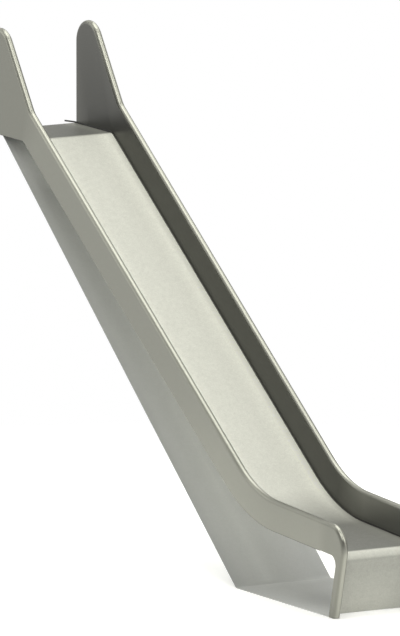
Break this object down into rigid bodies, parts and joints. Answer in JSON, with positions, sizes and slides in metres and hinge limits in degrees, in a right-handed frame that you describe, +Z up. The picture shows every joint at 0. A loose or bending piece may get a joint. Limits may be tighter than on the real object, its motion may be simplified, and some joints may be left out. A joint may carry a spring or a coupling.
{
  "type": "embankment slide",
  "caption": "Straight stainless sheet slide for a bank, with a level platform, raised ears, rolled cheek edges, a curved run-out on legs and a folded under-sheet.",
  "frame": {"origin": "centre of the underside of the level ground sheet, on the ground", "axes": "+Z up, -Y downhill towards the toe, X across the width, with the left side at -X"},
  "size_m": [0.58, 3.8792, 2.6117],
  "materials": {
    "chute_sheet": "matt stainless sheet, bright and faintly mottled",
    "cheek_sheet": "matt stainless sheet with rolled edges",
    "under_sheet": "smooth plain sheet, slightly cooler grey",
    "seam_strip": "slim dark strip along the foot of each cheek"
  },
  "bodies": {
    "root": {"bank_sheet": "under_sheet", "bend_bed": "chute_sheet", "ground_sheet": "under_sheet", "left_bend_cheek": "cheek_sheet", "left_bend_strip": "seam_strip", "left_ear": "cheek_sheet", "left_leg": "cheek_sheet", "left_leg_back": "cheek_sheet", "left_platform_strip": "seam_strip", "left_run_out_cheek": "cheek_sheet", "left_run_out_strip": "seam_strip", "left_slope_cheek": "cheek_sheet", "left_slope_strip": "seam_strip", "platform_sheet": "chute_sheet", "right_bend_cheek": "cheek_sheet", "right_bend_strip": "seam_strip", "right_ear": "cheek_sheet", "right_leg": "cheek_sheet", "right_leg_back": "cheek_sheet", "right_platform_strip": "seam_strip", "right_run_out_cheek": "cheek_sheet", "right_run_out_strip": "seam_strip", "right_slope_cheek": "cheek_sheet", "right_slope_strip": "seam_strip", "run_out_bed": "chute_sheet", "slope_bed": "chute_sheet", "toe_plate": "chute_sheet"}
  },
  "joints": []
}
